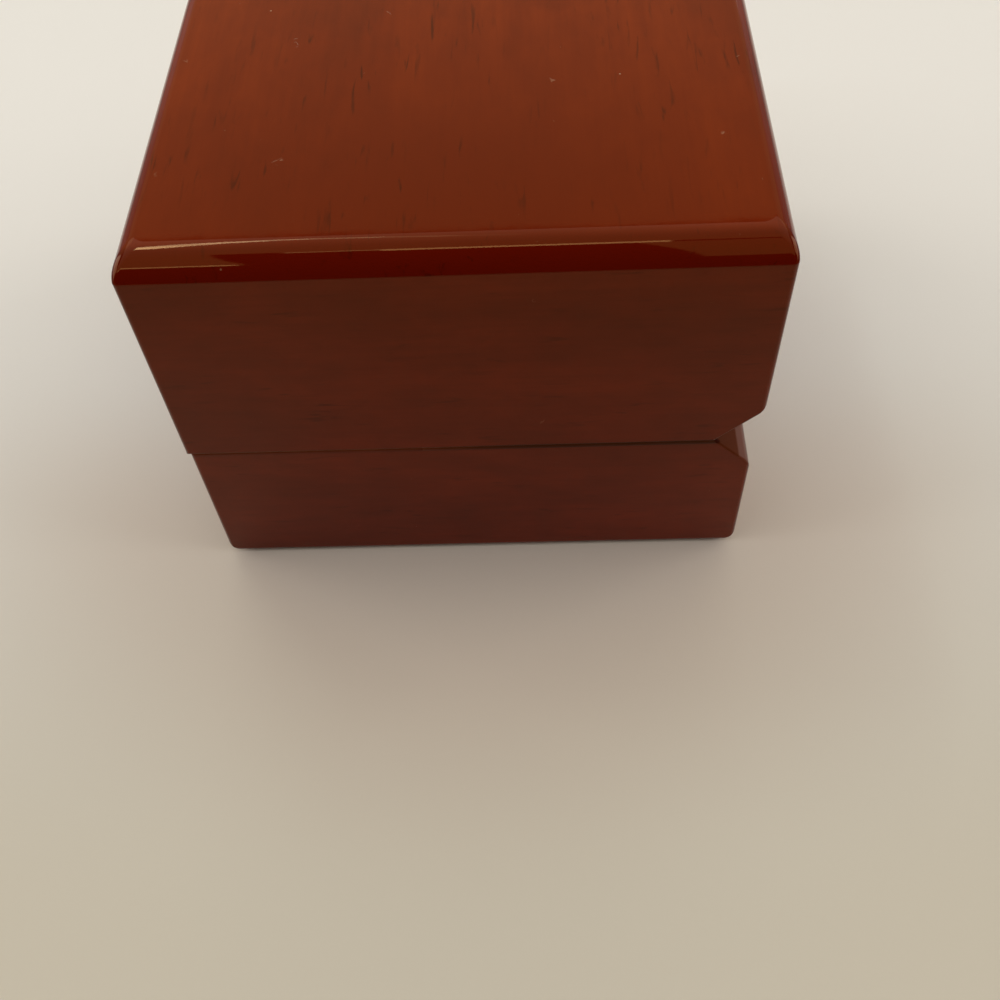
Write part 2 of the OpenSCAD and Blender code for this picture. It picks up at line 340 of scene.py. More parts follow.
lacquer = {
    "top": {
        "deep": (0.124, 0.0078, 0.0003), "body": (0.177, 0.0134, 0.0005), "warm": (0.232, 0.0215, 0.0008),
    },
    # painted shade: the walls' tones are darker than the top's, so that the upright faces look shaded
    # beside the lit top
    "wall": {
        "deep": (0.070, 0.0042, 0.0007), "body": (0.097, 0.0064, 0.0011), "warm": (0.130, 0.0097, 0.0018),
    },
    # the seam colour is a painted shadow for the gap under the lid's rim
    "crown": (0.096, 0.0031, 0.0002), "seamShadow": (0.028, 0.0004, 0.0002), "cut": (0.076, 0.0110, 0.0026),
    "pore": (0.046, 0.0022, 0.0004), "dust": (0.46, 0.27, 0.16),
    "gloss": 0.36, "glossTint": (1.0, 0.44, 0.12), "roughness": 0.035,
    "sweep": (90, 1, 0.4), "orangePeel": (900, 2, 0.4),
}
grain = {   # stretch along the grain, offset for each seed, then scale, detail, roughness and distortion
    "bands": (0.30, 0.051, 85, 3, 0.55, 0.7), "blotches": (0.60, 0.083, 260, 3, 0.6, 0.4),
    "strands": (0.06, 0.113, 1300, 4, 0.6, 0.3), "poreLines": (0.13, 0.131, 1500, 2, 0.5, 0.5),
    "poreField": (0.50, 0.067, 210, 2, 0.5, 0.0),
}
paintedShadeAndCrown = {   # millimetres between which painted shade deepens on the top towards its +X end, its least share there, and the width over which the crown's colour comes in
    "towards": (-12, 26), "beside": (34, 4), "least": 0.55, "crownTurn": 1.2,
}
groove = {   # millimetres; the two cut faces open from the apex at the seam
    "line": 27.5, "apex": 21.1, "edge": (0.5, 0.3), "begins": (0.0, 0.3), "lightensOver": (3.0, 3.3),
    "lightened": 0.65, "matt": 0.85,
}
paintedSeamShadow = {   # millimetres; painted shadow: a dark line on the base's faces just under the lid's rim, where the gap lies in shade
    "middle": 20.85, "half": (0.65, 0.45), "face": (31.6, 31.9), "towardsRear": (-12, 8),
    "least": 0.3, "matt": 0.5,
}
dustMarks = {   # dots and short hairs under the film: scales, limits and how much each shows
    "cells": 560.0, "dotSize": 0.085, "dotsFrom": 0.72, "clusters": 120, "cluster": (0.48, 0.62),
    "dots": 0.75, "curls": 380, "hairWidth": 0.012, "fields": 420, "field": (0.72, 0.77), "hairs": 0.28,
}

def lacquerMaterial(name, tones, along, seed, crownFrom=None, dust=1.0, nearShade=0.0, grooved=False):
    # clear red-brown lacquer over a fine straight grain that runs along one axis
    material, tree, shader = newMaterial(name)
    axis = "XYZ".index(along)
    spot = position(tree)

    def times(first, second):
        return calc(tree, "MULTIPLY", first, second)

    def size(value):
        return calc(tree, "ABSOLUTE", value)

    def grainy(kind):
        stretch, offset, *texture = grain[kind]
        scale = [1.0, 1.0, 1.0]
        scale[axis] = stretch
        offset = (seed * offset, seed * offset * 0.6, seed * offset * 0.3)
        return noisy(tree, stretched(tree, scale, offset), *texture)

    tone = weighted(tree, (grainy("bands"), 0.55), (grainy("blotches"), 0.27), (grainy("strands"), 0.18))
    colour = graded(tree, tone, ((0.32, tones["deep"]), (0.50, tones["body"]), (0.68, tones["warm"])))
    if nearShade:
        # painted shade: the top darkens towards the middle of its +X end, standing for a shadow cast from
        # the camera's side
        beside = times(between(tree, size(spot[1]), paintedShadeAndCrown["beside"]), 1 - paintedShadeAndCrown["least"])
        towards = between(tree, spot[0], paintedShadeAndCrown["towards"])
        depth = times(towards, calc(tree, "ADD", beside, paintedShadeAndCrown["least"]))
        colour = mixed(tree, times(depth, nearShade), colour, (*tones["deep"], 1))
    if crownFrom:
        # the grain is cut across there and takes more colour
        share = between(tree, size(spot[axis]), (crownFrom, crownFrom + paintedShadeAndCrown["crownTurn"]))
        colour = mixed(tree, share, colour, (*lacquer["crown"], 1))
    if grooved:
        # the two cut faces along the rear are browner and rougher, least towards the hinge line
        rise = size(calc(tree, "SUBTRACT", spot[2], groove["apex"] * mm))
        run = calc(tree, "SUBTRACT", spot[1], groove["line"] * mm)
        onCut = between(tree, size(calc(tree, "SUBTRACT", rise, run)), groove["edge"])
        onCut = times(onCut, between(tree, run, groove["begins"]))
        lightened = times(between(tree, run, groove["lightensOver"]), groove["lightened"])
        cutDarkened = times(onCut, calc(tree, "SUBTRACT", 1.0, lightened))
        colour = mixed(tree, cutDarkened, colour, (*lacquer["cut"], 1))
        # painted shadow of the gap just under the lid's rim, darkest towards the rear
        face = between(tree, calc(tree, "MAXIMUM", size(spot[0]), size(spot[1])), paintedSeamShadow["face"])
        under = size(calc(tree, "SUBTRACT", spot[2], paintedSeamShadow["middle"] * mm))
        rearmost = times(between(tree, spot[1], paintedSeamShadow["towardsRear"]), 1 - paintedSeamShadow["least"])
        seamShadow = times(between(tree, under, paintedSeamShadow["half"]), face)
        seamShadow = times(seamShadow, calc(tree, "ADD", rearmost, paintedSeamShadow["least"]))
        colour = mixed(tree, seamShadow, colour, (*lacquer["seamShadow"], 1))
        matt = weighted(tree, (cutDarkened, groove["matt"]), (seamShadow, paintedSeamShadow["matt"]))
        tree.links.new(calc(tree, "ADD", matt, lacquer["roughness"], True), shader.inputs["Roughness"])
    pores = times(
        stepped(tree, grainy("poreLines"), 0.58, 0.74), stepped(tree, grainy("poreField"), 0.40, 0.70)
    )
    colour = mixed(tree, times(pores, 0.75), colour, (*lacquer["pore"], 1))
    cells = place(tree, "TexVoronoi", {
        "Vector": stretched(tree, offset=(seed, seed, 0)), "Scale": dustMarks["cells"],
    })
    cellPick = place(tree, "SeparateColor", {0: cells.outputs["Color"]})
    clusters = noisy(tree, stretched(tree, offset=(0, seed, seed)), dustMarks["clusters"], 2)
    dotSize = times(cellPick.outputs[1], dustMarks["dotSize"])
    dots = times(
        calc(tree, "LESS_THAN", cells.outputs["Distance"], dotSize),
        calc(tree, "GREATER_THAN", cellPick.outputs[0], dustMarks["dotsFrom"]),
    )
    dots = times(dots, stepped(tree, clusters, *dustMarks["cluster"]))
    curls = noisy(tree, stretched(tree, offset=(seed, 0, seed)), dustMarks["curls"], 2, 0.5, 0.6)
    fields = noisy(tree, stretched(tree, offset=(seed, seed, 0.4)), dustMarks["fields"], 2)
    hairLine = calc(tree, "LESS_THAN", size(calc(tree, "SUBTRACT", curls, 0.5)), dustMarks["hairWidth"])
    hairs = times(hairLine, stepped(tree, fields, *dustMarks["field"]))
    marks = calc(
        tree, "ADD", times(dots, dustMarks["dots"] * dust), times(hairs, dustMarks["hairs"] * dust), True
    )
    colour = mixed(tree, marks, colour, (*lacquer["dust"], 1))
    tree.links.new(colour, shader.inputs["Base Color"])
    film = bumped(tree, noisy(tree, stretched(tree), *lacquer["sweep"]), 0.10, 0.00012)
    film = bumped(tree, noisy(tree, stretched(tree), *lacquer["orangePeel"]), 0.25, 0.0000035, film)
    film = bumped(tree, marks, 0.5, 0.00002, film)
    film = bumped(tree, pores, 0.12, -0.000008, film)
    tree.links.new(film, shader.inputs["Normal"])
    setShader(shader, Specular_IOR_Level=lacquer["gloss"], Specular_Tint=(*lacquer["glossTint"], 1),
              Roughness=lacquer["roughness"])
    return material

lacquerTop = lacquerMaterial("red lacquer, top", lacquer["top"], "X", 1, crownFrom=29.0, nearShade=0.9)
lacquerAcross, lacquerAlong = (
    lacquerMaterial(f"red lacquer, {walls} walls", lacquer["wall"], along, seed, dust=0.35, grooved=True)
    for walls, along, seed in (("front and rear", "X", 2), ("side", "Y", 3))
)

velvet = {"pile": (0.74, 0.68, 0.57), "shade": (0.65, 0.59, 0.485), "roughness": 0.92}


def velvetMaterial(name, seed):
    # short upright pile: mottled where it lies different ways, with a pale sheen at the turns
    material, tree, shader = newMaterial(name)
    plain = stretched(tree, offset=(seed * 0.03, seed * 0.05, seed * 0.07))
    mottle = noisy(tree, plain, 260, 4, 0.6, 0.6)
    pile = noisy(tree, plain, 5200, 2, 0.7)
    tone = weighted(tree, (mottle, 0.65), (pile, 0.35))
    colour = graded(tree, tone, ((0.34, velvet["shade"]), (0.62, velvet["pile"])))
    tree.links.new(colour, shader.inputs["Base Color"])
    normal = bumped(tree, mottle, 0.3, 0.0002)
    normal = bumped(tree, pile, 0.6, 0.00008, normal)
    tree.links.new(normal, shader.inputs["Normal"])
    setShader(shader, Roughness=velvet["roughness"], Sheen_Weight=0.5, Sheen_Roughness=0.4,
              Specular_IOR_Level=0.1, Sheen_Tint=(1.0, 0.96, 0.90, 1))
    return material


velvetCloth = velvetMaterial("ivory velvet", 1)


satin = {"cloth": (0.82, 0.77, 0.68), "thread": (0.755, 0.70, 0.60), "roughness": 0.30}


def satinMaterial():
    material, tree, shader = newMaterial("ivory satin")
    weft = stretched(tree, (0.16, 1.0, 1.0))
    threads = noisy(tree, weft, 5200, 2, 0.6)
    slubs = noisy(tree, stretched(tree, (0.08, 1.0, 1.0), (0.3, 0.1, 0)), 900, 3, 0.6)
    clouds = noisy(tree, stretched(tree), 90, 2, 0.5)
    tone = weighted(tree, (threads, 0.4), (slubs, 0.35), (clouds, 0.25))
    colour = graded(tree, tone, ((0.36, satin["thread"]), (0.60, satin["cloth"])))
    tree.links.new(colour, shader.inputs["Base Color"])
    tree.links.new(calc(tree, "ADD", calc(tree, "MULTIPLY", slubs, 0.2), satin["roughness"] - 0.1),
                   shader.inputs["Roughness"])
    normal = bumped(tree, threads, 0.35, 0.00003)
    normal = bumped(tree, slubs, 0.3, 0.00004, normal)
    tree.links.new(normal, shader.inputs["Normal"])
    setShader(shader, Specular_IOR_Level=0.45, Sheen_Weight=0.25, Sheen_Roughness=0.3, Anisotropic=0.5)
    return material


satinCloth = satinMaterial()


def feltMaterial():
    material, tree, shader = newMaterial("dark felt")
    plain = stretched(tree)
    fibres = noisy(tree, plain, 2600, 5, 0.75, 2.5)
    clouds = noisy(tree, plain, 300, 3, 0.6)
    tone = weighted(tree, (fibres, 0.7), (clouds, 0.3))
    colour = graded(tree, tone, ((0.35, (0.012, 0.010, 0.010)), (0.65, (0.045, 0.040, 0.038))))
    tree.links.new(colour, shader.inputs["Base Color"])
    tree.links.new(bumped(tree, fibres, 0.8, 0.0002), shader.inputs["Normal"])
    setShader(shader, Roughness=0.95, Sheen_Weight=0.35, Sheen_Roughness=0.5, Specular_IOR_Level=0.1)
    return material


feltCloth = feltMaterial()


def foamMaterial():
    material, tree, shader = newMaterial("grey foam")
    plain = stretched(tree)
    cells = place(tree, "TexVoronoi", {"Vector": plain, "Scale": 1900.0}).outputs["Distance"]
    clouds = noisy(tree, plain, 200, 3, 0.6)
    tone = weighted(tree, (cells, 0.8), (clouds, 0.3))
    colour = graded(tree, tone, ((0.20, (0.22, 0.21, 0.20)), (0.75, (0.46, 0.45, 0.43))))
    tree.links.new(colour, shader.inputs["Base Color"])
    tree.links.new(bumped(tree, cells, 0.9, 0.0003), shader.inputs["Normal"])
    setShader(shader, Roughness=0.9, Specular_IOR_Level=0.15)
    return material


foamStuff = foamMaterial()


def boardMaterial(name, pale, dark, along, ribs):
    material, tree, shader = newMaterial(name)
    stretch = [1.0, 1.0, 1.0]
    stretch["XYZ".index(along)] = 0.06
    fibres = noisy(tree, stretched(tree, stretch), ribs, 4, 0.6, 0.3)
    clouds = noisy(tree, stretched(tree), 120, 3, 0.5)
    tone = weighted(tree, (fibres, 0.6), (clouds, 0.4))
    colour = graded(tree, tone, ((0.35, dark), (0.65, pale)))
    tree.links.new(colour, shader.inputs["Base Color"])
    tree.links.new(calc(tree, "ADD", calc(tree, "MULTIPLY", fibres, 0.3), 0.55), shader.inputs["Roughness"])
    tree.links.new(bumped(tree, fibres, 0.4, 0.00004), shader.inputs["Normal"])
    setShader(shader, Specular_IOR_Level=0.25)
    return material


greyCard = boardMaterial("grey card", (0.38, 0.36, 0.32), (0.26, 0.24, 0.21), "X", 1800)
palePly = boardMaterial("pale plywood", (0.55, 0.38, 0.22), (0.38, 0.24, 0.12), "X", 700)


def metalMaterial(name, bright, dull, roughness, along):
    material, tree, shader = newMaterial(name)
    stretch = [1.0, 1.0, 1.0]
    stretch["XYZ".index(along)] = 12.0
    turned = noisy(tree, stretched(tree, stretch), 260, 3, 0.6)
    stain = noisy(tree, stretched(tree), 400, 4, 0.6, 0.5)
    colour = graded(tree, stain, ((0.35, dull), (0.62, bright)))
    tree.links.new(colour, shader.inputs["Base Color"])
    uneven = calc(tree, "ADD", calc(tree, "MULTIPLY", stain, 0.22), roughness - 0.1)
    tree.links.new(uneven, shader.inputs["Roughness"])
    tree.links.new(bumped(tree, turned, 0.25, 0.00001), shader.inputs["Normal"])
    setShader(shader, Metallic=1.0, Anisotropic=0.4)
    return material


brassMetal = metalMaterial("turned brass", (0.80, 0.58, 0.24), (0.58, 0.38, 0.14), 0.28, "Z")
steelMetal = metalMaterial("bright steel", (0.62, 0.61, 0.60), (0.42, 0.41, 0.41), 0.26, "X")
print("materials made")


# ---- wooden shells: a block is rounded, then cut into its four mitred walls

shellEdges = {
    "lid": {
        "upright": 0.6, "rim": 0.15, "far": 0.0, "farSide": 0.0,
        "grooveOut": 1.1, "grooveLip": 0.3, "grooveSide": 0.30,
    },
    "base": {
        "upright": 0.6, "rim": 0.5, "far": 2.1, "farSide": 0.35,
        "grooveOut": 1.1, "grooveLip": 0.6, "grooveSide": 0.25,
    },
}
rimSlope = {"front": -0.05, "rear": 0.0, "reach": 6}   # the lid's rim comes down a little at the front
shell = {
    "inner": 23.5, "innerEase": 0.2, "boreRadius": 2.52, "boreRelief": 0.3, "boreEnds": (19, 23),
    "floorHalf": 26.5, "floorLow": -1, "floorHigh": 4,
}

def shellBlock(part):
    # the whole outside of the lid's or the base's walls, from the rim to the far edge
    edges = shellEdges[part]
    low = nodeBox(part + "_front_wall")[0]
    high = nodeBox(part + "_rear_wall")[1]
    half = high.y
    height = high.z - low.z
    line = groove["line"]
    rise = half - line
    corners = [
        (-half, -half, 0), (half, -half, 0), (half, line, 0), (-half, line, 0),
        (half, half, rise), (-half, half, rise),
        (-half, -half, height), (half, -half, height), (half, half, height), (-half, half, height),
    ]
    sides = [
        (0, 1, 2, 3), (3, 2, 4, 5), (0, 1, 7, 6), (1, 2, 4, 8, 7), (5, 4, 8, 9), (0, 3, 5, 9, 6),
        (6, 7, 8, 9),
    ]
    widths = {
        (0, 1): "rim", (1, 2): "rim", (0, 3): "rim", (2, 3): "grooveLip", (2, 4): "grooveSide",
        (3, 5): "grooveSide", (4, 5): "grooveOut", (0, 6): "upright", (1, 7): "upright",
        (4, 8): "upright", (5, 9): "upright", (6, 7): "far", (8, 9): "far", (7, 8): "farSide",
        (6, 9): "farSide",
    }
    bm = bmesh.new()
    verts = [bm.verts.new(corner) for corner in corners]
    for side in sides:
        bm.faces.new([verts[i] for i in side])
    widest = max(edges.values())
    weights = bm.edges.layers.float.new("bevel_weight_edge")
    for (first, second), name in widths.items():
        edge = bm.edges.get((verts[first], verts[second]))
        edge[weights] = edges[name] / widest
    obj = looseObject(bm)
    rounding = obj.modifiers.new("rounding", "BEVEL")
    rounding.limit_method, rounding.width, rounding.segments = "WEIGHT", widest, 8
    rounding.profile, rounding.use_clamp_overlap = 0.5, False
    bm = applied(obj)
    for vert in bm.verts:
        # the front and rear rounding runs straight out through the corners
        over = abs(vert.co.y) - (half - edges["far"])
        if edges["far"] and over > 0:
            arc = edges["far"] - math.sqrt(max(0, edges["far"] ** 2 - over ** 2))
            vert.co.z = min(vert.co.z, height - arc)
    rimZ = low.z if part == "lid" else high.z
    for vert in bm.verts:
        if part == "lid":
            share = (vert.co.y + half) / (2 * half)
            slope = rimSlope["front"] + (rimSlope["rear"] - rimSlope["front"]) * share
            vert.co.z = rimZ + vert.co.z + slope * max(0, 1 - vert.co.z / rimSlope["reach"])
        else:
            vert.co.z = rimZ - vert.co.z
    return bm


def boreCutter(x, low, high):
    bm = bmesh.new()
    radius = shell["boreRadius"]
    bmesh.ops.create_cone(
        bm, cap_ends=True, segments=48, radius1=radius, radius2=radius, depth=high - low,
        matrix=Matrix.Translation((x, groove["line"], (low + high) / 2)),
    )
    return bm

def blockCutter(low, high):
    bm = bmesh.new()
    low, high = Vector(low), Vector(high)
    fitted = Matrix.Translation((low + high) / 2) @ Matrix.Diagonal((*(high - low), 1))
    bmesh.ops.create_cube(bm, size=1, matrix=fitted)
    return bm

def makeWalls(part):
    inner = shell["inner"]
    for side, (dirX, dirY) in {"front": (0, -1), "rear": (0, 1), "left": (-1, 0), "right": (1, 0)}.items():
        node = part + "_" + side + "_wall"
        bm = shellBlock(part)
        outward = Vector((dirX, dirY, 0))
        across = Vector((-dirY, dirX, 0))
        keepBeyond(bm, outward * inner, outward)
        keepBeyond(bm, Vector(), outward + across)
        keepBeyond(bm, Vector(), outward - across)
        low, high = nodeBox(node)
        rim = low.z if part == "lid" else high.z
        lip = [
            e for e in bm.edges
            if all(abs(v.co.dot(outward) - inner) < 0.01 and abs(v.co.z - rim) < 0.5 for v in e.verts)
        ]
        bmesh.ops.bevel(bm, geom=lip, offset=shell["innerEase"], segments=3, profile=0.5, affect="EDGES")
        cutters = []
        if part == "base":
            half = shell["floorHalf"]
            cutters.append(blockCutter((-half, -half, shell["floorLow"]), (half, half, shell["floorHigh"])))
        if side == "rear":
            for hinge in ("left", "right"):
                barrelLow, barrelHigh = nodeBox("hinge_" + hinge + "_" + part + "_barrel")
                middle = (barrelLow.x + barrelHigh.x) / 2
                ends = [barrelLow.z - shell["boreRelief"], barrelHigh.z + shell["boreRelief"]]
                openEnd = 0 if part == "lid" else 1
                ends[openEnd] = shell["boreEnds"][openEnd]
                cutters.append(boreCutter(middle, *ends))
        if cutters:
            bm = cutAway(bm, cutters)
        finish = lacquerAcross if dirY else lacquerAlong
        makePiece(part + side.capitalize() + "Wall", bm, finish, part, (node,), 30)

makeWalls("lid")
makeWalls("base")
print("walls made")


topPanel = {
    # the crown falls to the left and right, the smaller brow to the front and rear
    "crownRadius": 4.3, "crownSteps": 24, "browRadius": 2.0, "land": 0.08, "underEase": 0.02,
    "cornerRadius": 0.6, "cornerGrowth": 0.2, "steps": (10, 8),
    "plug": 23.4, "plugCorner": 0.4, "plugEase": 0.3,
}

def makeTopPanel():
    low, high = nodeBox("lid_top_panel")
    wallTop = nodeBox("lid_right_wall")[1].z
    half = high.x
    radius = topPanel["crownRadius"]
    drop = high.z - wallTop - topPanel["land"]
    turn = math.acos(1 - drop / radius)
    reach = radius * math.sin(turn)
    under, ease, plug = topPanel["underEase"], topPanel["plugEase"], topPanel["plug"]
    rings = []

    def addRing(halfX, halfY, corner, z):
        rings.append(roundedLoop(halfX, halfY, corner, z, *topPanel["steps"]))

    def edgeRing(inset, z, frontInset=0.0):
        brow = topPanel["browRadius"]
        rise = min(max(0, z - high.z + brow), brow)
        browInset = brow - math.sqrt(brow ** 2 - rise ** 2)
        corner = topPanel["cornerRadius"] + topPanel["cornerGrowth"] * inset
        addRing(half - inset, half - max(frontInset, browInset), corner, z)

    addRing(plug - ease, plug - ease, topPanel["plugCorner"] / 2, low.z)
    addRing(plug, plug, topPanel["plugCorner"], low.z + ease)
    addRing(plug, plug, topPanel["plugCorner"], wallTop)
    edgeRing(under, wallTop, under)
    edgeRing(0.0, wallTop + under)
    steps = topPanel["crownSteps"]
    for i in range(steps + 1):
        angle = turn * (1 - i / steps)
        edgeRing(reach - radius * math.sin(angle), high.z - radius * (1 - math.cos(angle)))
    bm = stackRings(rings)
    makePiece("lidTopPanel", bm, lacquerTop, "lid", ("lid_top_panel",), 24)

makeTopPanel()
print("top panel made")


# ---- linings, insert and pads

covering = {"edge": 0.42, "step": 1.3, "wobble": 0.05, "grain": 5.0}

def makeLinings():
    for part in ("base", "lid"):
        for number, side in enumerate(("front", "rear", "left", "right")):
            node = part + "_lining_" + side
            bm = softBlock(*nodeBox(node), **covering, seed=number)
            name = part + side.capitalize() + "Lining"
            makePiece(name, bm, velvetCloth, part, (node,), 60, False)

makeLinings()

insertCard = {
    "edge": 0.8, "lip": 0.7, "sag": 0.12, "thick": 1.5, "rollGap": 0.2, "corner": 0.8, "inCorner": 0.4,
    "steps": (6, 20),
}

def makeInsert():
    # covered card: up the outside, over the edge, across the top and down into the window
    low, high = nodeBox("insert_frame")
    rollHigh = nodeBox("ring_roll_rear")[1]
    halfX, halfY = high.x, high.y
    windowX, windowY = rollHigh.x + insertCard["rollGap"], rollHigh.y + insertCard["rollGap"]
    edge, lip, card = insertCard["edge"], insertCard["lip"], insertCard["thick"]
    rings = []

    def ring(x, y, z, corner=insertCard["corner"]):
        rings.append(roundedLoop(x, y, corner, z, *insertCard["steps"]))

    for share in (0, 0.3, 0.65, 1.0):
        ring(halfX, halfY, low.z + (high.z - edge - low.z) * share)
    for i in range(1, 6):
        angle = i / 5 * math.pi / 2
        inset = edge * (1 - math.cos(angle))
        ring(halfX - inset, halfY - inset, high.z - edge * (1 - math.sin(angle)))
    for i in range(1, 8):
        share = i / 8
        x = halfX - edge + (windowX + lip - halfX + edge) * share
        y = halfY - edge + (windowY + lip - halfY + edge) * share
        ring(x, y, high.z - insertCard["sag"] * math.sin(math.pi * share))
    for i in range(0, 6):
        angle = i / 5 * math.pi / 2
        inset = lip * (1 - math.sin(angle))
        ring(windowX + inset, windowY + inset, high.z - lip * (1 - math.cos(angle)), lip)
    ring(windowX, windowY, high.z - card, lip)
    ring(halfX - card, halfY - card, high.z - card, insertCard["inCorner"])
    ring(halfX - card, halfY - card, low.z, insertCard["inCorner"])
    bm = stackRings(rings, closed=True)
    makePiece("insertFrame", bm, velvetCloth, "base", ("insert_frame",), 70, False)

makeInsert()


ringRoll = {
    "block": {"edge": 4.0, "step": 0.9, "wobble": 0.15, "grain": 6.0}, "smaller": (0.12, 0.45, 0.45),
    "tuckedBelow": 1.4, "tuckedEnds": 1.3,
    "pleat": 0.32, "pleats": 15, "pleatFromEnd": 1.1, "pleatReach": 3.2,
    "cover": {
        "net": 0.75, "stretch": 12.0, "bend": 0.4, "pressure": 3.0, "slack": 0.035, "frames": 18,
        "cap": 1.6, "clear": 0.05,
    },
}

def makeRolls():
    # velvet drawn round a foam roll and tucked in at both ends
    for number, side in enumerate(("front", "rear")):
        node = "ring_roll_" + side
        low, high = nodeBox(node)
        middle = (low + high) / 2
        smaller = Vector(ringRoll["smaller"])
        bm = softBlock(low + smaller, high - smaller, **ringRoll["block"], seed=13 + number)

        def held(point):
            below = point.z < low.z + ringRoll["tuckedBelow"]
            return 1.0 if below or abs(point.x) > high.x - ringRoll["tuckedEnds"] else 0.0

        bm = swollen(bm, low, high, ringRoll["cover"], held)
        for vert in bm.verts:
            fromEnd = high.x - abs(vert.co.x)
            around = math.atan2(vert.co.z - middle.z, vert.co.y - middle.y)
            drift = 2.0 * noise.noise(Vector((around, number, 0.3)))
            wave = 0.5 + 0.5 * math.cos(ringRoll["pleats"] * around + drift)
            share = max(0.0, 1 - abs(fromEnd - ringRoll["pleatFromEnd"]) / ringRoll["pleatReach"]) ** 1.5
            inward = Vector((0, middle.y - vert.co.y, middle.z - vert.co.z))
            vert.co += inward.normalized() * ringRoll["pleat"] * wave * share
        name = "ringRoll" + side.capitalize()
        roll = makePiece(name, bm, velvetCloth, "base", (node,), 80, False)

makeRolls()

bedBlock = {"edge": 0.25, "step": 1.5, "wobble": 0.08, "grain": 3.0, "seed": 4}
feltBlock = {"edge": 0.16, "step": 1.5, "wobble": 0.05, "grain": 2.0, "seed": 9}

def makeBedAndFelt():
    bm = softBlock(*nodeBox("insert_foam_bed"), **bedBlock)
    bed = makePiece("insertFoamBed", bm, foamStuff, "base", ("insert_foam_bed",), 70, False)
    bm = softBlock(*nodeBox("base_felt"), **feltBlock)
    makePiece("baseFelt", bm, feltCloth, "base", ("base_felt",), 70, False)

makeBedAndFelt()

satinPad = {
    "block": {"edge": 2.0, "step": 1.0, "wobble": 0.1, "grain": 8.0, "seed": 12},
    "smaller": 0.12, "backRise": 2.6, "crown": 1.9, "gathered": 1.5, "held": 1.3,
    "cover": {
        "net": 0.80, "stretch": 12.0, "bend": 0.5, "pressure": 1.3, "slack": 0.055, "frames": 20,
        "cap": 3.0, "clear": 0.05,
    },
}

def makeLidPad():
    # satin over wadding, gathered on to the board behind it
    low, high = nodeBox("lid_pad")
    half = high.x - satinPad["smaller"]
    bm = softBlock((-half, -half, low.z + satinPad["backRise"]), (half, half, high.z), **satinPad["block"])
    for vert in bm.verts:
        share = max(0, 1 - (vert.co.x / half) ** 2) * max(0, 1 - (vert.co.y / half) ** 2)
        if vert.co.z < high.z - satinPad["gathered"]:
            vert.co.z -= satinPad["crown"] * share

    def held(point):
        return 1.0 if point.z > high.z - satinPad["held"] else 0.0

    bm = swollen(bm, low, high, satinPad["cover"], held)
    pad = makePiece("lidPad", bm, satinCloth, "lid", ("lid_pad",), 80, False)

makeLidPad()
print("linings, insert and pads made")


def dressNodes():
    # the solids that stay as they are get their finish, and the hinge parts' edges are eased to catch a
    # little light
    finishes = {"base_floor_panel": palePly, "lid_pad_board": greyCard}
    for side in ("left", "right"):
        for part in ("base", "lid"):
            finishes["hinge_" + side + "_" + part + "_barrel"] = brassMetal
            finishes["hinge_" + side + "_" + part + "_pin"] = steelMetal
        finishes["hinge_" + side + "_links"] = brassMetal
    for name, finish in finishes.items():
        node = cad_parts[name]
        for slot in node.material_slots:
            slot.material = finish
        if name.startswith("hinge"):
            ease = node.modifiers.new("eased edges", "BEVEL")
            ease.width, ease.segments, ease.limit_method = 0.00008, 2, "ANGLE"
            ease.angle_limit = math.radians(50)


dressNodes()


# ---- table, light and camera

table = {
    "near": (0.674, 0.608, 0.507), "far": (0.900, 0.864, 0.834), "turns": (0.085, -0.02),
    "flat": 1.1, "wall": 1.55, "rise": 0.62, "steps": 12, "spokes": 96,
    "dims": (0.17, 0.42), "dim": 0.45,
    "paintedBounce": (0.94, 0.87, 0.83), "paintedBounceReach": (0.082, 0.046), "paintedBounceFrom": (0.0, 0.03),
}

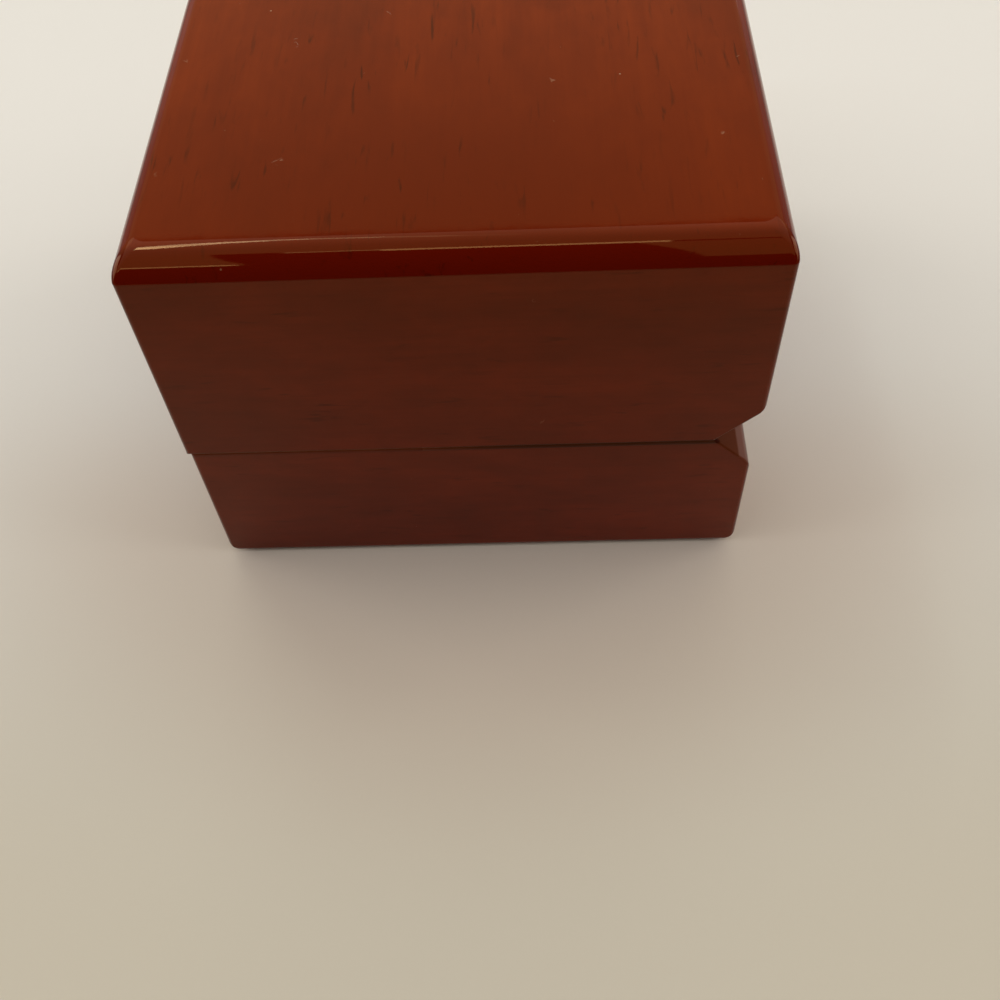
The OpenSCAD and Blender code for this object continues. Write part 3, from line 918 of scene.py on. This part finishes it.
def makeTable():
    # a flat top that sweeps up into a low pale wall all round
    mesh = bpy.data.meshes.new("table")
    bm = bmesh.new()
    steps, spokes = table["steps"], table["spokes"]
    profile = [(table["flat"] * i / steps, 0.0) for i in range(1, steps + 1)]
    sweep = table["wall"] - table["flat"]
    for i in range(1, steps + 1):
        turn = i / steps * math.pi / 2
        profile.append((table["flat"] + sweep * math.sin(turn), sweep * (1 - math.cos(turn))))
    profile.append((table["wall"], table["rise"]))
    centre = bm.verts.new((0, 0, 0))
    turns = [2 * math.pi * i / spokes for i in range(spokes)]
    previous = None
    for radius, height in profile:
        ring = [bm.verts.new((radius * math.cos(turn), radius * math.sin(turn), height)) for turn in turns]
        for i in range(spokes):
            j = (i + 1) % spokes
            if previous:
                bm.faces.new((previous[i], ring[i], ring[j], previous[j]))
            else:
                bm.faces.new((centre, ring[i], ring[j]))
        previous = ring
    bm.to_mesh(mesh)
    bm.free()
    mesh.shade_smooth()
    floor = bpy.data.objects.new("table", mesh)
    scene.collection.objects.link(floor)
    material, tree, shader = newMaterial("pale table")
    speckle = noisy(tree, stretched(tree), 2500, 3, 0.6)
    clouds = noisy(tree, stretched(tree), 9, 2, 0.5)
    spot = position(tree)
    # painted shade and light: the table is darker towards the camera, standing for a shadow cast from that
    # side, and lighter towards the far side, where the light comes from
    tone = mixed(tree, stepped(tree, spot[0], *table["turns"]), (*table["near"], 1), (*table["far"], 1))
    # further out the lamps stand closer, so the colour is deeper there and the table looks even
    where = place(tree, "TexCoord").outputs["Object"]
    away = place(tree, "VectorMath", {0: where}, operation="LENGTH").outputs["Value"]
    deeper = calc(tree, "MULTIPLY", stepped(tree, away, *table["dims"]), 1 - table["dim"])
    outer = calc(tree, "SUBTRACT", 1.0, deeper)
    tone = place(tree, "VectorMath", {0: tone, "Scale": outer}, operation="SCALE").outputs["Vector"]
    # painted shade and bounce light: beside the box, on its near side, the table is darkened slightly and
    # tinted with a little of the box's red
    close = stepped(tree, away, *table["paintedBounceReach"])
    close = calc(tree, "MULTIPLY", close, stepped(tree, spot[0], *table["paintedBounceFrom"]))
    tone = mixed(tree, close, tone, mixed(tree, 1.0, tone, (*table["paintedBounce"], 1), "MULTIPLY"))
    patchy = weighted(tree, (speckle, 0.03), (clouds, 0.03))
    patches = graded(tree, patchy, ((0.0, (0.97, 0.97, 0.97)), (0.06, (1, 1, 1))))
    tone = mixed(tree, 1.0, tone, patches, "MULTIPLY")
    tree.links.new(tone, shader.inputs["Base Color"])
    tree.links.new(bumped(tree, speckle, 0.15, 0.00003), shader.inputs["Normal"])
    setShader(shader, Roughness=0.75, Specular_IOR_Level=0.15)
    mesh.materials.append(material)

makeTable()


warmWhite = (1.0, 0.95, 0.85)
coolWhite = (0.75, 0.88, 1.0)
lamps = {
    "ceiling": {"at": (-0.50, 0.0, 1.0), "size": (1.06, 1.7), "glow": 0.90, "tint": warmWhite},
    "ceilingLeft": {"at": (0.285, -0.61, 1.0), "size": (0.51, 0.64), "glow": 0.90, "tint": warmWhite},
    "ceilingRight": {
        "at": (0.455, 0.535, 1.0), "size": (0.85, 0.76), "glow": 0.76, "tint": warmWhite,
        "along": (0.99, 0.134, 0),
    },
    "edgeMiddle": {"at": (0.055, 0.0, 0.99), "size": (0.06, 0.26), "glow": 6.5, "tint": coolWhite},
    "edgeFade": {"at": (0.045, -0.175, 0.99), "size": (0.03, 0.09), "glow": 4.0, "tint": coolWhite},
    "edgeLeft": {"at": (0.555, -0.61, 0.99), "size": (0.05, 0.62), "glow": 6.0, "tint": coolWhite},
    "left": {"at": (-0.10, -1.0, 0.62), "size": (0.9, 0.66), "glow": 2.4, "tint": (1.0, 1.0, 0.99)},
    "right": {"at": (-0.10, 1.0, 0.62), "size": (0.9, 0.66), "glow": 2.4, "tint": (1.0, 1.0, 0.99)},
    "near": {"at": (1.0, 0.0, 0.18), "size": (1.4, 0.32), "glow": 1.05, "tint": (1.0, 0.92, 0.80)},
}
strip = {   # a narrow lamp on the far side that runs from the left towards the middle and fades there
    "height": 0.62, "width": 0.035, "tint": (0.78, 0.96, 0.90),
    "glow": (15.0, 11.0, 7.5, 9.0, 5.0, 2.8, 1.2, 0.3),
    "path": ((-0.205, -0.253), (-0.253, -0.241), (-0.290, -0.230), (-0.342, -0.221), (-0.397, -0.194),
             (-0.431, -0.163), (-0.401, -0.105), (-0.355, -0.050), (-0.321, -0.002)),
}
farWalls = {
    "away": 1.15, "width": 1.2, "turns": {-55: 0.12, 0: 1.0, 55: 0.10},
    "low": {"from": 0.06, "to": 0.55, "glow": 1.2, "tint": (1.0, 1.0, 1.0)},
    "high": {"from": 0.55, "to": 1.09, "glow": 0.55, "tint": (1.0, 0.86, 0.50)},
}
backWash = {"away": 1.1, "height": 0.55, "size": (1.6, 0.3), "glow": 1.7, "tint": (1.0, 0.97, 0.92),
            "turns": (0, 90, 180, 270)}
room = {"colour": (1.0, 0.93, 0.84), "strength": 0.04}


def addLamp(name, lamp, towards, along=None):
    light = bpy.data.lights.new(name, "AREA")
    light.shape, light.size, light.size_y = "RECTANGLE", *lamp["size"]
    light.energy, light.color = lamp["glow"] * math.pi * light.size * light.size_y, lamp["tint"]
    obj = bpy.data.objects.new(name, light)
    obj.location = lamp["at"]
    depth = Vector(towards).normalized()
    sideways = Vector((0, 0, 1)).cross(depth) if along is None else along - depth * along.dot(depth)
    sideways = sideways.normalized() if sideways.length > 0.01 else Vector((1, 0, 0))
    obj.rotation_euler = Matrix((sideways, -depth.cross(sideways), -depth)).transposed().to_euler()
    obj.visible_camera = False
    scene.collection.objects.link(obj)


def makeLight():
    for name, lamp in lamps.items():
        at = Vector(lamp["at"])
        if name.startswith(("ceiling", "edge")):
            towards = Vector((0, 0, -1))
        else:
            towards = Vector((0, -at.y, 0)) if at.y else Vector((-at.x, 0, 0))
        addLamp(name, lamp, towards, Vector(lamp["along"]) if "along" in lamp else None)
    for number, glow in enumerate(strip["glow"]):
        start, end = (Vector((*point, strip["height"])) for point in strip["path"][number:number + 2])
        size = ((end - start).length, strip["width"])
        lamp = {"at": (start + end) / 2, "size": size, "glow": glow, "tint": strip["tint"]}
        addLamp(f"strip {number}", lamp, -lamp["at"], end - start)
    for turn, share in farWalls["turns"].items():
        way = Vector((-math.cos(math.radians(turn)), math.sin(math.radians(turn)), 0))
        for part in ("low", "high"):
            wall = farWalls[part]
            glow = wall["glow"] * (share if part == "low" else 1.0)
            at = way * farWalls["away"] + Vector((0, 0, (wall["from"] + wall["to"]) / 2))
            size = (farWalls["width"], wall["to"] - wall["from"])
            lamp = {"at": at, "size": size, "glow": glow, "tint": wall["tint"]}
            addLamp(f"farWall {part} {turn}", lamp, -way)
    for turn in backWash["turns"]:
        # these face outwards and light only the sweep behind the lamps
        way = Vector((math.cos(math.radians(turn)), math.sin(math.radians(turn)), 0))
        at = way * backWash["away"] + Vector((0, 0, backWash["height"]))
        addLamp(f"backWash {turn}", {**backWash, "at": at}, way)
    world = bpy.data.worlds.new("room")
    world.use_nodes = True
    world.node_tree.nodes["Background"].inputs[0].default_value = (*room["colour"], 1)
    world.node_tree.nodes["Background"].inputs[1].default_value = room["strength"]
    scene.world = world


makeLight()


view = {
    "at": (0.110898, 0.007748, 0.122094), "lens": 40.752,
    "right": (-0.00080, 0.99909, -0.04257), "down": (0.81809, -0.02384, -0.5746),
    "forward": (-0.57509, -0.03529, -0.81733),
}


def makeCamera():
    camera = bpy.data.cameras.new("camera")
    camera.lens, camera.sensor_width, camera.clip_start = view["lens"], 36.0, 0.005
    camera.dof.use_dof = False
    obj = bpy.data.objects.new("camera", camera)
    scene.collection.objects.link(obj)
    right, down, forward = (Vector(view[key]).normalized() for key in ("right", "down", "forward"))
    turn = Matrix((right, -down, -forward)).transposed()
    obj.matrix_world = Matrix.Translation(view["at"]) @ turn.to_4x4()
    scene.camera = obj


makeCamera()
scene.view_settings.view_transform = "Standard"
print("table, light and camera made")
